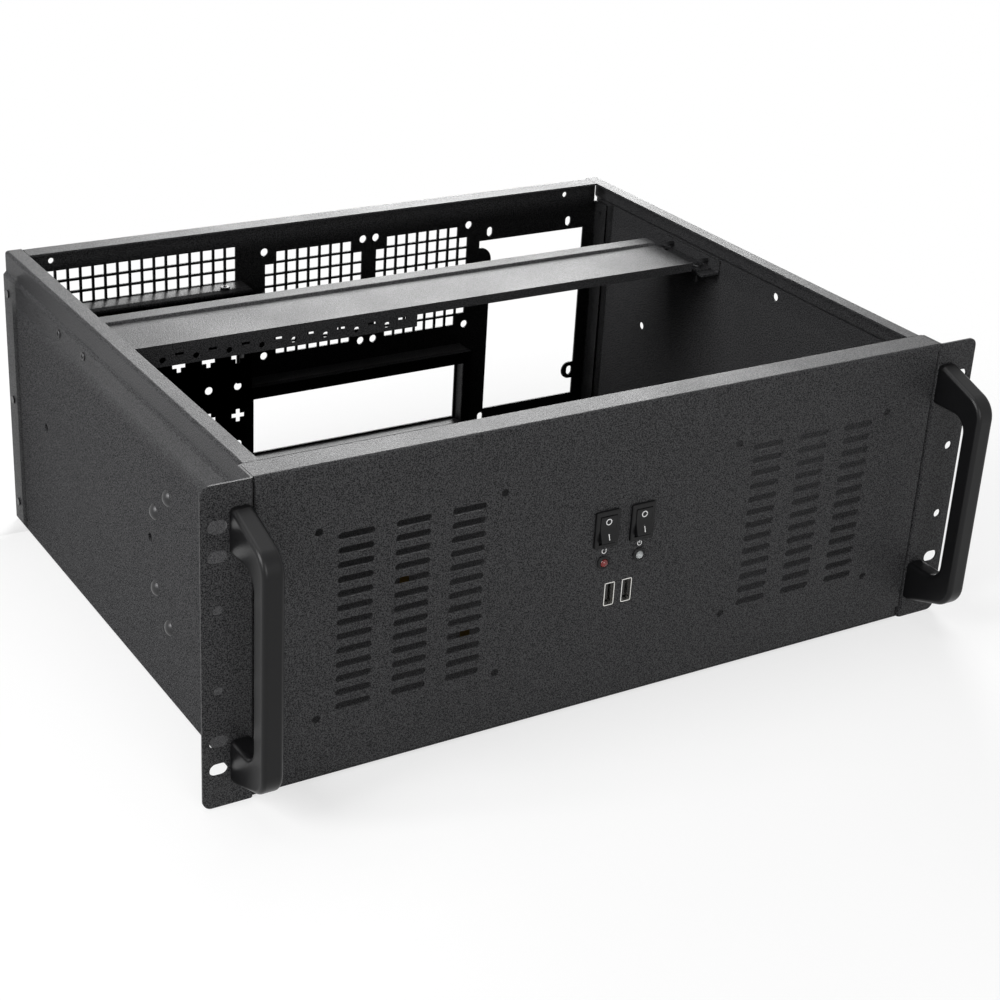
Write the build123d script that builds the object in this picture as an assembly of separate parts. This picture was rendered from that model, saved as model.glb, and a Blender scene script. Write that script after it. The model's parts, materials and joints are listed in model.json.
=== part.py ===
from build123d import *
import os

# An empty 4U rackmount server case without its top cover, in millimetres.
# X runs to the right seen from the front, Y to the back, Z up.
# The origin is under the middle of the whole object, on the surface it stands on.

# Overall sizes
RACK_WIDTH = 482.6
CASE_HEIGHT = 177.0
CASE_DEPTH = 350.0
EAR_REACH = 26.3
BODY_WIDTH = RACK_WIDTH - 2 * EAR_REACH

# Sheet steel
SHEET = 1.2
BEND = 0.8
GAP = 0.3

# Side walls: the upper strip steps inwards and ends in a flange
JOGGLE = 1.8
JOGGLE_DROP = 14.5
SIDE_FLANGE = 10.0
RELIEF = 1.0
RETURN = 14.0
RETURN_RISE = 8.0

# Rack ears
EAR_CORNER = 5.0
RACK_HOLE_EDGE = 8.75
EAR_SLOT_EDGE = 21.8
EAR_SLOT_PITCH = 15.9
EAR_SLOT_LENGTH = 10.0
EAR_SLOT_WIDTH = 7.0
EAR_HOLE_RISE = 22.2
EAR_HOLE_RADIUS = 2.6

# Handles
HANDLE_REACH = 37.0
HANDLE_WIDTH = 11.5
HANDLE_INSET = 20.7
HANDLE_EDGE = 13.0
HANDLE_SLOPE = 12.0
HANDLE_FOOT = 24.0
HANDLE_GRIP = 12.0
HANDLE_STEP = 3.0
HANDLE_BEND = 14.0
HANDLE_INNER_BEND = 9.0
HANDLE_ROUND = 2.5
HANDLE_SCREW_DEPTH = 12.0

# Front panel
FRONT_FLANGE = 16.5
VENT_EDGE = 88.0
VENT_COLUMNS = 3
VENT_ROWS = 13
VENT_COLUMN_PITCH = 32.0
VENT_ROW_PITCH = 8.0
VENT_SLOT = 20.0
VENT_SLOT_HEIGHT = 4.0
VENT_HOLE_SPAN = 105.0
VENT_HOLE_RADIUS = 2.3

# Rocker switches, lamps and sockets around the middle of the front
PANEL_X = 1.5
SWITCH_SPREAD = 11.5
SWITCH_RISE = 19.0
BEZEL_WIDTH = 15.0
BEZEL_HEIGHT = 21.5
BEZEL_PROUD = 2.0
HOUSING_WIDTH = 13.0
HOUSING_HEIGHT = 19.6
HOUSING_DEPTH = 15.0
POCKET_DEPTH = 8.0
ROCKER_WIDTH = 10.0
ROCKER_HALF = 7.4
ROCKER_TIP = 4.6
ROCKER_WAIST = 3.2
ROCKER_HOLLOW = 9.0
ROCKER_BACK = 4.5
ROCKER_CLEAR = 0.3
ROCKER_SWING = 0.7
ROCKER_THROW = 18.0
PIVOT_DEPTH = 1.0
PIN_RADIUS = 1.0
PIN_CLEAR = 0.05
PIN_LENGTH = 0.9
BLADE_WIDTH = 4.8
BLADE_THICK = 0.8
BLADE_LENGTH = 8.0
BLADE_SPREAD = 5.0

LAMP_DROP = 1.2
LAMP_RADIUS = 2.5
HOLDER_RADIUS = 4.0
HOLDER_SLEEVE = 3.2
HOLDER_PROUD = 1.2
HOLDER_LENGTH = 9.0
LAMP_PROUD = 2.6
LAMP_LENGTH = 10.0

SOCKET_DROP = 21.8
SOCKET_SPREAD = 5.6
SOCKET_WIDTH = 6.6
SOCKET_HEIGHT = 14.0
SOCKET_WALL = 0.5
SOCKET_DEPTH = 14.0
TONGUE_WIDTH = 1.9
TONGUE_HEIGHT = 11.2
TONGUE_LENGTH = 9.0
TONGUE_OFFSET = 1.0
BOARD_THICK = 1.6
USB_BOARD_WIDTH = 26.0
USB_BOARD_HEIGHT = 18.0
USB_EAR = 7.0

# Rear panel: a grille, two 80 mm fan places and the power supply
REAR_FLANGE = 13.5
MESH_PITCH = 8.0
MESH_HOLE = 6.4
FAN_FROM_PSU = (135.8, 54.8)
FAN_DROP = 58.0
FAN_CELLS = 9
FAN_HOLE_SPAN = 71.5
FAN_HOLE_RADIUS = 2.6
GRILLE_COLUMNS = 16
GRILLE_ROWS = 3
GRILLE_SHIFT = 56.7
GRILLE_DROP = 27.3
COVER_HOLE_INSET = 29.5
COVER_HOLE_DROP = 9.4
COVER_HOLE_RADIUS = 1.8
PSU_WIDTH = 75.2
PSU_INSET = 12.0
PSU_BOTTOM = 16.0
PSU_DROP = 35.0
PSU_NOTCH = 9.8
PSU_NOTCH_DROP = 5.0
PSU_NOTCH_ROUND = 9.0
PSU_HOLE_RADIUS = 2.2
PSU_HOLE_SHIFT = 2.0
PSU_HOLE_RISE = 6.0
PSU_PITCH_NEAR = 64.0
PSU_PITCH_FAR = 74.0
PSU_EAR_Z = 34.0
PSU_LOW_HOLE_Z = 10.0
PSU_EAR_HEIGHT = 12.5

# Recessed frame for the expansion slots and the input/output opening
FRAME_SETBACK = 18.0
FRAME_BOTTOM = 12.0
FRAME_MARGIN = 1.5
SLOT_COUNT = 7
SLOT_PITCH = 20.32
SLOT_INSET = 144.5
SLOT_DROP = 41.0
SLOT_WINDOW_WIDTH = 13.0
SLOT_WINDOW_RIM = 8.0
SLOT_WINDOW_BOTTOM = 24.0
IO_WIDTH = 158.75
IO_HEIGHT = 44.45
IO_BOTTOM = 16.85
IO_RIM = 8.2
IO_SIDE_RIM = 6.0
IO_GAP = 1.365
COVER_WIDTH = 18.4
COVER_SHEET = 0.8
COVER_BOTTOM = 20.0
COVER_TONGUE_WIDTH = 10.0
COVER_TONGUE = 6.0
COVER_TAB = 11.5
COVER_NOTCH_X = 5.6
COVER_NOTCH = 4.4
PUNCH_DROP = 5.0
PUNCH_PITCH = 20.4
PUNCH_RADIUS = 2.7
CROSS_SPAN = 9.0
CROSS_ARM = 3.0
CLAMP_LIP = 8.0
CLAMP_SCREW_SETBACK = 6.0

# Crossbar that holds expansion cards down
BAR_SETBACK = 141.0
BAR_WIDTH = 53.0
BAR_BAND = 40.0
BAR_STEP = 1.5
BAR_DEPTH_BELOW = 16.0
BAR_LIP = 5.0
BAR_INSET = 22.0
BAR_DROP = 6.5
BAR_TAB_INSET = 3.0
BAR_TAB_WIDTH = 49.0
BAR_SCREW_EDGE = 10.0
BAR_SCREW_INSET = 9.0
BAR_SCREW_PITCH = 38.0
STRIP_PROUD = 0.8
STRIP_LIP = 12.5
STRIP_REACH = 60.5
STRIP_COUNT = 8
STRIP_SHIFT = 92.0
STRIP_SLOT = 5.5
STRIP_SLOT_HEIGHT = 1.7
STRIP_SLOT_DROP = 6.1
STRIP_HOLE_RADIUS = 1.9
STRIP_HOLE_DROP = 8.6
BRACKET_SPARE = 4.0

# Screws, rivets and pillars
SCREW_RADIUS = 1.5
PAN_RADIUS = 3.0
PAN_HEIGHT = 1.6
CROSS_REACH = 1.5
CROSS_WIDTH = 0.8
CROSS_DEPTH = 0.6
LOW_RADIUS = 2.6
LOW_HEIGHT = 0.8
BUTTON_RADIUS = 4.5
BUTTON_HEIGHT = 2.2
RIVET_RADIUS = 2.4
RIVET_HEIGHT = 0.9
RIVET_LOW = 14.6
RIVET_MID_DROP = 4.5
RIVET_TOP_DROP = 24.5
RIVET_INSET = 7.0
DRIVE_NEAR = 103.0
DRIVE_FAR = 120.7
DRIVE_RISES = (33.0, 17.5, -27.8, -43.4)
DRIVE_MARGIN = 7.0
DRIVE_LEG = 40.0
DRIVE_SLOT = 20.0
DRIVE_SLOT_HEIGHT = 4.0
DRIVE_SLOT_PITCH = 25.4
DRIVE_SLOT_COUNT = 3
WALL_HOLE_RADIUS = 2.6
WALL_HOLE_FRONT = 126.5
WALL_HOLE_REAR = 65.0
RIGHT_HOLE = 147.7
RIGHT_HOLE_DROP = 21.2
PILLAR_ACROSS = 5.5
PILLAR_HEIGHT = 6.5
BOARD_SETBACK = 11.0
BOARD_SHIFT = 123.1
BOARD_MID_X = 157.48
BOARD_FAR_X = 281.94
BOARD_MID_Y = 154.94
BOARD_FAR_Y = 227.33

# Places worked out from the sizes above
FRONT = (HANDLE_REACH - CASE_DEPTH) / 2
REAR = FRONT + CASE_DEPTH
MID_Z = CASE_HEIGHT / 2
WALL_OUT = BODY_WIDTH / 2
WALL_IN = WALL_OUT - SHEET
UPPER_OUT = WALL_OUT - JOGGLE
UPPER_IN = UPPER_OUT - SHEET
FLANGE_TIP = UPPER_OUT - SIDE_FLANGE
FOLD = BEND + SHEET / 2
TOP_MID = CASE_HEIGHT - SHEET / 2
JOGGLE_Z = CASE_HEIGHT - JOGGLE_DROP
FLANGE_START = FRONT + FRONT_FLANGE + GAP
STRIP_SEAM = JOGGLE_Z - 2 * FOLD
PANEL_HALF = WALL_IN - GAP

RACK_HOLE_SPAN = RACK_WIDTH - 2 * RACK_HOLE_EDGE
EAR_SLOT_OUTER = MID_Z - EAR_SLOT_EDGE
EAR_SLOT_RISES = (EAR_SLOT_OUTER - EAR_SLOT_PITCH, EAR_SLOT_OUTER)
HANDLE_X = RACK_WIDTH / 2 - HANDLE_INSET
HANDLE_HALF = MID_Z - HANDLE_EDGE
HANDLE_SHOULDER = HANDLE_HALF - HANDLE_SLOPE
HANDLE_GAP_HALF = HANDLE_HALF - HANDLE_FOOT
HANDLE_SCREW_RISE = (HANDLE_HALF + HANDLE_GAP_HALF) / 2

VENT_X = WALL_OUT - VENT_EDGE
SWITCH_Z = MID_Z + SWITCH_RISE
LAMP_Z = MID_Z - LAMP_DROP
SOCKET_Z = MID_Z - SOCKET_DROP
SWITCH_XS = {"reset": PANEL_X - SWITCH_SPREAD, "power": PANEL_X + SWITCH_SPREAD}
LAMP_XS = {"red": PANEL_X - SWITCH_SPREAD, "clear": PANEL_X + SWITCH_SPREAD}
SOCKET_XS = (PANEL_X - SOCKET_SPREAD, PANEL_X + SOCKET_SPREAD)
PIVOT = FRONT + PIVOT_DEPTH
POCKET_WIDTH = ROCKER_WIDTH + 2 * ROCKER_CLEAR
POCKET_HEIGHT = 2 * (ROCKER_HALF + ROCKER_SWING + ROCKER_CLEAR)
SOCKET_BACK = FRONT + SOCKET_DEPTH

PSU_RIGHT = WALL_OUT - PSU_INSET
PSU_LEFT = PSU_RIGHT - PSU_WIDTH
PSU_TOP = CASE_HEIGHT - PSU_DROP
PSU_HOLE_X = PSU_LEFT - PSU_HOLE_SHIFT
PSU_HOLE_Z = PSU_TOP + PSU_HOLE_RISE
PSU_EAR = (PSU_HOLE_X + PSU_PITCH_FAR, PSU_EAR_Z)
FAN_XS = [PSU_LEFT - gap for gap in FAN_FROM_PSU]
FAN_Z = CASE_HEIGHT - FAN_DROP
COVER_HOLE_X = WALL_OUT - COVER_HOLE_INSET

PLATE = REAR - FRAME_SETBACK
SLOT_X = SLOT_INSET - WALL_OUT
SLOT_XS = [SLOT_X - i * SLOT_PITCH for i in range(SLOT_COUNT)]
SLOT_TOP = CASE_HEIGHT - SLOT_DROP
SLOT_WINDOW_TOP = SLOT_TOP - SLOT_WINDOW_RIM
PUNCH_Z = (COVER_BOTTOM + SLOT_TOP) / 2 - PUNCH_DROP
FRAME_LEFT = SLOT_XS[-1] - SLOT_PITCH / 2 - SHEET
FRAME_STEP = SLOT_X + SLOT_PITCH / 2
IO_X = FRAME_STEP + IO_GAP + IO_WIDTH / 2
IO_TOP = IO_BOTTOM + IO_HEIGHT
GRILLE_X = SLOT_X - GRILLE_SHIFT
GRILLE_Z = CASE_HEIGHT - GRILLE_DROP
FRAME_RIGHT = IO_X + IO_WIDTH / 2 + IO_SIDE_RIM
FRAME_TOP = IO_TOP + IO_RIM

BAR_FRONT = REAR - BAR_SETBACK
BAR_TOP = CASE_HEIGHT - BAR_DEPTH_BELOW
BAR_MID = BAR_TOP - SHEET / 2
BAR_END = WALL_OUT - BAR_INSET
BAR_SCREW_X = WALL_OUT - BAR_SCREW_EDGE
TAB_TOP = BAR_TOP - BAR_DROP
SHELF_TOP = TAB_TOP - SHEET
BRACKET_SCREW_Z = (SHELF_TOP + JOGGLE_Z) / 2
BAR_SCREWS = [BAR_FRONT + BAR_SCREW_INSET + i * BAR_SCREW_PITCH for i in range(2)]
STRIP_X = SLOT_X - STRIP_SHIFT
STRIP_END = SLOT_X + STRIP_REACH

RIVETS = [(REAR - RIVET_INSET, z) for z in
          (RIVET_LOW, MID_Z - RIVET_MID_DROP, CASE_HEIGHT - RIVET_TOP_DROP)]
DRIVE_YS = [FRONT + y for y in (DRIVE_NEAR, DRIVE_FAR, DRIVE_FAR, DRIVE_NEAR)]
DRIVE_ZS = [MID_Z + rise for rise in DRIVE_RISES]
BOARD_LEFT = SLOT_X - BOARD_SHIFT
BOARD_BACK = PLATE - BOARD_SETBACK


# Shared ways of making a piece


def run(axis, sketch, start, end):
    """Extrudes a sketch that lies across an axis from start to end along it."""
    planes = {
        "x": Plane.YZ.offset(start),
        "y": Plane.XZ.offset(-end),
        "z": Plane.XY.offset(start),
    }
    return extrude(planes[axis] * sketch, amount=end - start)


def folded(axis, points, start, end):
    """Bends a sheet along its mid-line, given in the plane across the axis."""
    line = FilletPolyline(*points, radius=FOLD)
    return run(axis, trace(line, line_width=SHEET), start, end)


def spread(shape, points):
    """Places one sketch at several points."""
    return Sketch() + [Pos(x, y) * shape for x, y in points]


def block(x0, x1, y0, y1, z0, z1):
    """A box between two corners."""
    return Pos((x0 + x1) / 2, (y0 + y1) / 2, (z0 + z1) / 2) * Box(x1 - x0, y1 - y0, z1 - z0)


def outline(points):
    """A flat face with straight sides."""
    return make_face(Polyline(*points, close=True))


def both_sides(points):
    """A path on the right half, carried on to its mirror image on the left."""
    return list(points) + [(-x, y) for x, y in reversed(points)]


def screw(length, radius=PAN_RADIUS, height=PAN_HEIGHT):
    """A screw that points down, with its head's seat at zero and a cross recess."""
    head = Pos(0, 0, height / 2) * Cylinder(radius, height)
    top = head.edges().filter_by(GeomType.CIRCLE).sort_by(Axis.Z)[-1]
    head = chamfer(top, height / 3)
    arm = Rectangle(2 * CROSS_REACH, CROSS_WIDTH)
    recess = run("z", arm + Rot(0, 0, 90) * arm, height - CROSS_DEPTH, height + GAP)
    return head + Pos(0, 0, -length / 2) * Cylinder(SCREW_RADIUS, length) - recess


# The tray: floor, walls and ears are one sheet


def ear(side):
    """The front edge of a wall, folded out to the rack flange."""
    wall = side * (WALL_OUT - SHEET / 2)
    tip = side * RACK_WIDTH / 2
    front = FRONT + SHEET / 2
    plate = folded("z", [(wall, FRONT + FOLD + SHEET), (wall, front), (tip, front)], 0, CASE_HEIGHT)
    corners = plate.edges().filter_by(Axis.Y).sort_by(Axis.X)
    outer = corners[-2:] if side > 0 else corners[:2]
    return fillet(outer, EAR_CORNER)


def ear_holes():
    """Slots and round holes at the rack's hole pitch, through both ears."""
    xs = (-RACK_HOLE_SPAN / 2, RACK_HOLE_SPAN / 2)
    slots = [(x, MID_Z + s * rise) for x in xs for rise in EAR_SLOT_RISES for s in (-1, 1)]
    rounds = [(x, MID_Z + s * EAR_HOLE_RISE) for x in xs for s in (-1, 1)]
    screws = [(s * HANDLE_X, MID_Z + t * HANDLE_SCREW_RISE) for s in (-1, 1) for t in (-1, 1)]
    holes = spread(SlotOverall(EAR_SLOT_LENGTH, EAR_SLOT_WIDTH), slots)
    holes += spread(Circle(EAR_HOLE_RADIUS), rounds)
    holes += spread(Circle(SCREW_RADIUS + PIN_CLEAR), screws)
    return run("y", holes, FRONT - GAP, FRONT + SHEET + GAP)


def wall_holes():
    """Holes through both side walls, then those that one wall alone has."""
    both = [(FRONT + WALL_HOLE_FRONT, MID_Z), (REAR - WALL_HOLE_REAR, MID_Z)]
    right = [(FRONT + RIGHT_HOLE, CASE_HEIGHT - RIGHT_HOLE_DROP)]
    brackets = [(y, BRACKET_SCREW_Z) for y in BAR_SCREWS]
    drive = list(zip(DRIVE_YS, DRIVE_ZS))
    through = spread(Circle(WALL_HOLE_RADIUS), both)
    through += spread(Circle(SCREW_RADIUS + PIN_CLEAR), brackets + RIVETS)
    left = spread(Circle(SCREW_RADIUS + PIN_CLEAR), drive)
    cuts = [run("x", through, -WALL_OUT - GAP, -WALL_IN + GAP)]
    cuts.append(run("x", through, WALL_IN - GAP, WALL_OUT + GAP))
    cuts.append(run("x", left, -WALL_OUT - GAP, -WALL_IN + GAP))
    cuts.append(run("x", spread(Circle(WALL_HOLE_RADIUS), right), WALL_IN - GAP, WALL_OUT + GAP))
    return cuts


def side_strip(side):
    """The upper part of a wall: plain at the front, then stepped in and flanged."""
    wall = WALL_OUT - SHEET / 2
    upper = UPPER_OUT - SHEET / 2
    path = [(FLANGE_TIP, TOP_MID), (upper, TOP_MID), (upper, JOGGLE_Z + JOGGLE)]
    path += [(wall, JOGGLE_Z), (wall, STRIP_SEAM)]
    strip = folded("y", [(side * x, z) for x, z in path], FLANGE_START, REAR)
    plain = side * wall
    near = FRONT + BEND + SHEET
    sheet = block(plain - SHEET / 2, plain + SHEET / 2, near, FLANGE_START - RELIEF, STRIP_SEAM, CASE_HEIGHT)
    return [strip, sheet]


def chassis_tray():
    """Floor and walls over the whole length, with the upper strips and the ears on them."""
    wall = WALL_OUT - SHEET / 2
    base = both_sides([(wall, STRIP_SEAM), (wall, SHEET / 2)])
    tray = folded("y", base, FRONT + BEND + SHEET, REAR)
    tray += side_strip(-1) + side_strip(1)
    tray += [ear(-1) - ear_holes(), ear(1) - ear_holes()]
    return tray - wall_holes()


# The handles


def handle(side):
    """A moulded bow whose shoulders slope out from its feet to the grip."""
    tip = FRONT - HANDLE_REACH
    grip = tip + HANDLE_GRIP
    outer = [(FRONT, HANDLE_HALF), (FRONT - HANDLE_STEP, HANDLE_HALF), (tip, HANDLE_SHOULDER)]
    inner = [(grip, HANDLE_GAP_HALF), (FRONT, HANDLE_GAP_HALF)]
    lower = [(y, -z) for y, z in outer[::-1] + inner[::-1]]
    face = outline(outer + lower + inner)
    for y, radius in ((tip, HANDLE_BEND), (grip, HANDLE_INNER_BEND)):
        face = fillet([v for v in face.vertices() if abs(v.X - y) < GAP], radius)
    start = side * HANDLE_X - HANDLE_WIDTH / 2
    bow = Pos(0, 0, MID_Z) * run("x", face, start, start + HANDLE_WIDTH)
    rims = [e for f in bow.faces().filter_by(Axis.X) for e in f.edges() if e.center().Y < FRONT - GAP]
    bow = fillet(rims, HANDLE_ROUND)
    screws = [(side * HANDLE_X, MID_Z + s * HANDLE_SCREW_RISE) for s in (-1, 1)]
    holes = spread(Circle(SCREW_RADIUS + PIN_CLEAR), screws)
    return bow - run("y", holes, FRONT - HANDLE_SCREW_DEPTH, FRONT + GAP)


def handle_screws():
    """Two screws through each ear into the handle's feet."""
    one = Rot(-90, 0, 0) * screw(HANDLE_SCREW_DEPTH)
    spots = [(s * HANDLE_X, MID_Z + t * HANDLE_SCREW_RISE) for s in (-1, 1) for t in (-1, 1)]
    return [Pos(x, FRONT + SHEET, z) * one for x, z in spots]


# The front panel and what it carries


def vent(side):
    """Rows of slots with the four screw holes of a 120 mm fan around them."""
    slots = GridLocations(VENT_COLUMN_PITCH, VENT_ROW_PITCH, VENT_COLUMNS, VENT_ROWS)
    corners = GridLocations(VENT_HOLE_SPAN, VENT_HOLE_SPAN, 2, 2)
    holes = Sketch() + slots * SlotOverall(VENT_SLOT, VENT_SLOT_HEIGHT)
    holes += corners * Circle(VENT_HOLE_RADIUS)
    return Pos(side * VENT_X, MID_Z) * holes


def panel_cutouts():
    """Openings for the switches, the lamps and the sockets."""
    switches = [(x, SWITCH_Z) for x in SWITCH_XS.values()]
    lamps = [(x, LAMP_Z) for x in LAMP_XS.values()]
    sockets = [(x, SOCKET_Z) for x in SOCKET_XS]
    cut = spread(Rectangle(HOUSING_WIDTH + GAP, HOUSING_HEIGHT + GAP), switches)
    cut += spread(Circle(HOLDER_SLEEVE + PIN_CLEAR), lamps)
    cut += spread(Rectangle(SOCKET_WIDTH + 2 * GAP, SOCKET_HEIGHT + 2 * GAP), sockets)
    return cut


def front_panel():
    """A face with a deep top flange, two side returns and a bottom return on the floor."""
    face = FRONT + SHEET / 2
    side = PANEL_HALF - SHEET / 2
    floor = 1.5 * SHEET
    near = side - 2 * FOLD
    lid = [(FRONT + FRONT_FLANGE, TOP_MID), (face, TOP_MID)]
    panel = folded("x", lid + [(face, floor), (FRONT + RETURN, floor)], -near, near)
    under = TOP_MID - 2 * FOLD
    for s in (-1, 1):
        x0, x1 = sorted((s * near, s * PANEL_HALF))
        panel += folded("x", lid + [(face, under)], x0, x1)
        edge = [(s * side, FRONT + RETURN), (s * side, face), (s * near, face)]
        panel += folded("z", edge, RETURN_RISE, under)
    holes = vent(-1) + vent(1) + panel_cutouts()
    return panel - run("y", holes, FRONT - GAP, FRONT + SHEET + GAP)


def switch_body(x):
    """A bezel and a housing around the pocket that the rocker turns in."""
    centre = Pos(x, SWITCH_Z)
    rim = centre * RectangleRounded(BEZEL_WIDTH, BEZEL_HEIGHT, BEZEL_PROUD / 2)
    bezel = run("y", rim, FRONT - BEZEL_PROUD, FRONT)
    bezel = chamfer(bezel.faces().sort_by(Axis.Y)[0].edges(), BEZEL_PROUD / 4)
    housing = run("y", centre * Rectangle(HOUSING_WIDTH, HOUSING_HEIGHT), FRONT, FRONT + HOUSING_DEPTH)
    mouth = centre * Rectangle(POCKET_WIDTH, POCKET_HEIGHT)
    pocket = run("y", mouth, FRONT - 2 * BEZEL_PROUD, FRONT + POCKET_DEPTH)
    half = HOUSING_WIDTH / 2 + GAP
    pins = run("x", Pos(PIVOT, SWITCH_Z) * Circle(PIN_RADIUS + PIN_CLEAR), x - half, x + half)
    return bezel + housing - pocket - pins


def rocker(x):
    """A hollow-faced rocker on two pins, resting with its upper end pressed in."""
    half = [(-ROCKER_WAIST, 0), (-ROCKER_TIP, ROCKER_HALF), (-GAP, ROCKER_HALF)]
    half += [(ROCKER_BACK, ROCKER_HALF / 3)]
    points = half + [(y, -z) for y, z in reversed(half[1:])]
    cap = run("x", outline(points), -ROCKER_WIDTH / 2, ROCKER_WIDTH / 2)
    front = cap.edges().filter_by(Axis.X).sort_by(Axis.Y)
    cap = fillet(front[:2], ROCKER_WIDTH / 20)
    waist = cap.edges().filter_by(Axis.X).sort_by_distance((0, -ROCKER_WAIST, 0))[0]
    cap = fillet(waist, ROCKER_HOLLOW)
    reach = ROCKER_WIDTH / 2 + PIN_LENGTH
    pins = run("x", Circle(PIN_RADIUS), -reach, reach)
    return Pos(x, PIVOT, SWITCH_Z) * (Rot(-ROCKER_THROW / 2, 0, 0) * (cap + pins))


def switch_terminals():
    """Two blades behind each switch."""
    back = FRONT + HOUSING_DEPTH
    blades = []
    for x in SWITCH_XS.values():
        for side in (-1, 1):
            z = SWITCH_Z + side * BLADE_SPREAD
            blades.append(block(x - BLADE_WIDTH / 2, x + BLADE_WIDTH / 2, back, back + BLADE_LENGTH,
                                z - BLADE_THICK / 2, z + BLADE_THICK / 2))
    return blades


def lamp_holder(x):
    """A ring on the face and a sleeve through it."""
    centre = Pos(x, LAMP_Z)
    ring = run("y", centre * Circle(HOLDER_RADIUS), FRONT - HOLDER_PROUD, FRONT)
    ring = chamfer(ring.edges().filter_by(GeomType.CIRCLE).sort_by(Axis.Y)[0], HOLDER_PROUD / 2)
    sleeve = run("y", centre * Circle(HOLDER_SLEEVE), FRONT, FRONT + HOLDER_LENGTH)
    bore = run("y", centre * Circle(LAMP_RADIUS), FRONT - 2 * HOLDER_PROUD, FRONT + 2 * HOLDER_LENGTH)
    return ring + sleeve - bore


def lamp(x):
    """A 5 mm lamp with a domed end."""
    straight = FRONT - LAMP_PROUD + LAMP_RADIUS
    body = run("y", Pos(x, LAMP_Z) * Circle(LAMP_RADIUS), straight, straight + LAMP_LENGTH)
    dome = Pos(x, straight, LAMP_Z) * Sphere(LAMP_RADIUS)
    return body + dome


def usb_shells():
    """Two upright metal shells, open at the front."""
    outer = RectangleRounded(SOCKET_WIDTH, SOCKET_HEIGHT, 2 * SOCKET_WALL)
    inner = Rectangle(SOCKET_WIDTH - 2 * SOCKET_WALL, SOCKET_HEIGHT - 2 * SOCKET_WALL)
    shells = []
    for x in SOCKET_XS:
        shell = run("y", Pos(x, SOCKET_Z) * outer, FRONT + GAP, SOCKET_BACK)
        hollow = run("y", Pos(x, SOCKET_Z) * inner, FRONT - GAP, SOCKET_BACK - SOCKET_WALL)
        shells.append(shell - hollow)
    return shells


def usb_tongues():
    """The contact tongue in each shell, standing on the shell's back."""
    back = SOCKET_BACK - SOCKET_WALL
    return [run("y", Pos(x + TONGUE_OFFSET, SOCKET_Z) * Rectangle(TONGUE_WIDTH, TONGUE_HEIGHT),
                back - TONGUE_LENGTH, back) for x in SOCKET_XS]


def usb_board():
    """The small board that both shells stand on."""
    face = Pos(PANEL_X, SOCKET_Z) * Rectangle(USB_BOARD_WIDTH, USB_BOARD_HEIGHT)
    return run("y", face, SOCKET_BACK, SOCKET_BACK + BOARD_THICK)


def usb_bracket():
    """A hat section from the panel's inner face round the board's back."""
    near = FRONT + 1.5 * SHEET
    far = SOCKET_BACK + BOARD_THICK + SHEET / 2
    half = USB_BOARD_WIDTH / 2 + BEND + SHEET
    path = both_sides([(half + USB_EAR, near), (half, near), (half, far)])
    hat = folded("z", path, SOCKET_Z - USB_BOARD_HEIGHT / 2, SOCKET_Z + USB_BOARD_HEIGHT / 2)
    return Pos(PANEL_X, 0, 0) * hat


# The rear panel and the recessed frame


def cells(columns, rows, cut_corners):
    """A mesh of square holes, with its corner cells left out where asked."""
    places = GridLocations(MESH_PITCH, MESH_PITCH, columns, rows)
    reach = MESH_PITCH * (columns - 1) / 2
    rise = MESH_PITCH * (rows - 1) / 2
    kept = []
    for place in places:
        at = place.position
        corner = abs(at.X) > reach - GAP and abs(at.Y) > rise - GAP
        if not (cut_corners and corner):
            kept.append(place * Rectangle(MESH_HOLE, MESH_HOLE))
    return Sketch() + kept


def fan_place(x):
    """The mesh and screw holes of an 80 mm fan."""
    holes = GridLocations(FAN_HOLE_SPAN, FAN_HOLE_SPAN, 2, 2) * Circle(FAN_HOLE_RADIUS)
    return Pos(x, FAN_Z) * (cells(FAN_CELLS, FAN_CELLS, True) + holes)


def psu_opening():
    """The power supply's opening, its rounded corner, its ear and its four holes."""
    notch = PSU_TOP - PSU_NOTCH_DROP
    left = PSU_LEFT - PSU_NOTCH
    face = outline([(left, PSU_TOP), (PSU_RIGHT, PSU_TOP), (PSU_RIGHT, PSU_BOTTOM),
                    (PSU_LEFT, PSU_BOTTOM), (PSU_LEFT, notch), (left, notch)])
    corner = face.vertices().sort_by_distance((PSU_LEFT, notch, 0))[0]
    face = fillet(corner, PSU_NOTCH_ROUND)
    ear_x, ear_z = PSU_EAR
    reach = PSU_RIGHT - ear_x + PSU_EAR_HEIGHT / 2
    face -= Pos(PSU_RIGHT, ear_z) * SlotOverall(2 * reach, PSU_EAR_HEIGHT)
    holes = [(PSU_HOLE_X, PSU_HOLE_Z), (PSU_HOLE_X + PSU_PITCH_NEAR, PSU_HOLE_Z)]
    holes += [PSU_EAR, (PSU_HOLE_X, PSU_LOW_HOLE_Z)]
    slot = Rot(0, 0, 90) * SlotOverall(3 * PSU_HOLE_RADIUS, 2 * PSU_HOLE_RADIUS)
    return face + spread(slot, holes)


def frame_outline(inset):
    """The recess seen from the front: tall over the slots, low over the opening."""
    return outline([
        (FRAME_LEFT + inset, FRAME_BOTTOM + inset),
        (FRAME_RIGHT - inset, FRAME_BOTTOM + inset),
        (FRAME_RIGHT - inset, FRAME_TOP - inset),
        (FRAME_STEP - inset, FRAME_TOP - inset),
        (FRAME_STEP - inset, SLOT_TOP - inset),
        (FRAME_LEFT + inset, SLOT_TOP - inset),
    ])


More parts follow.
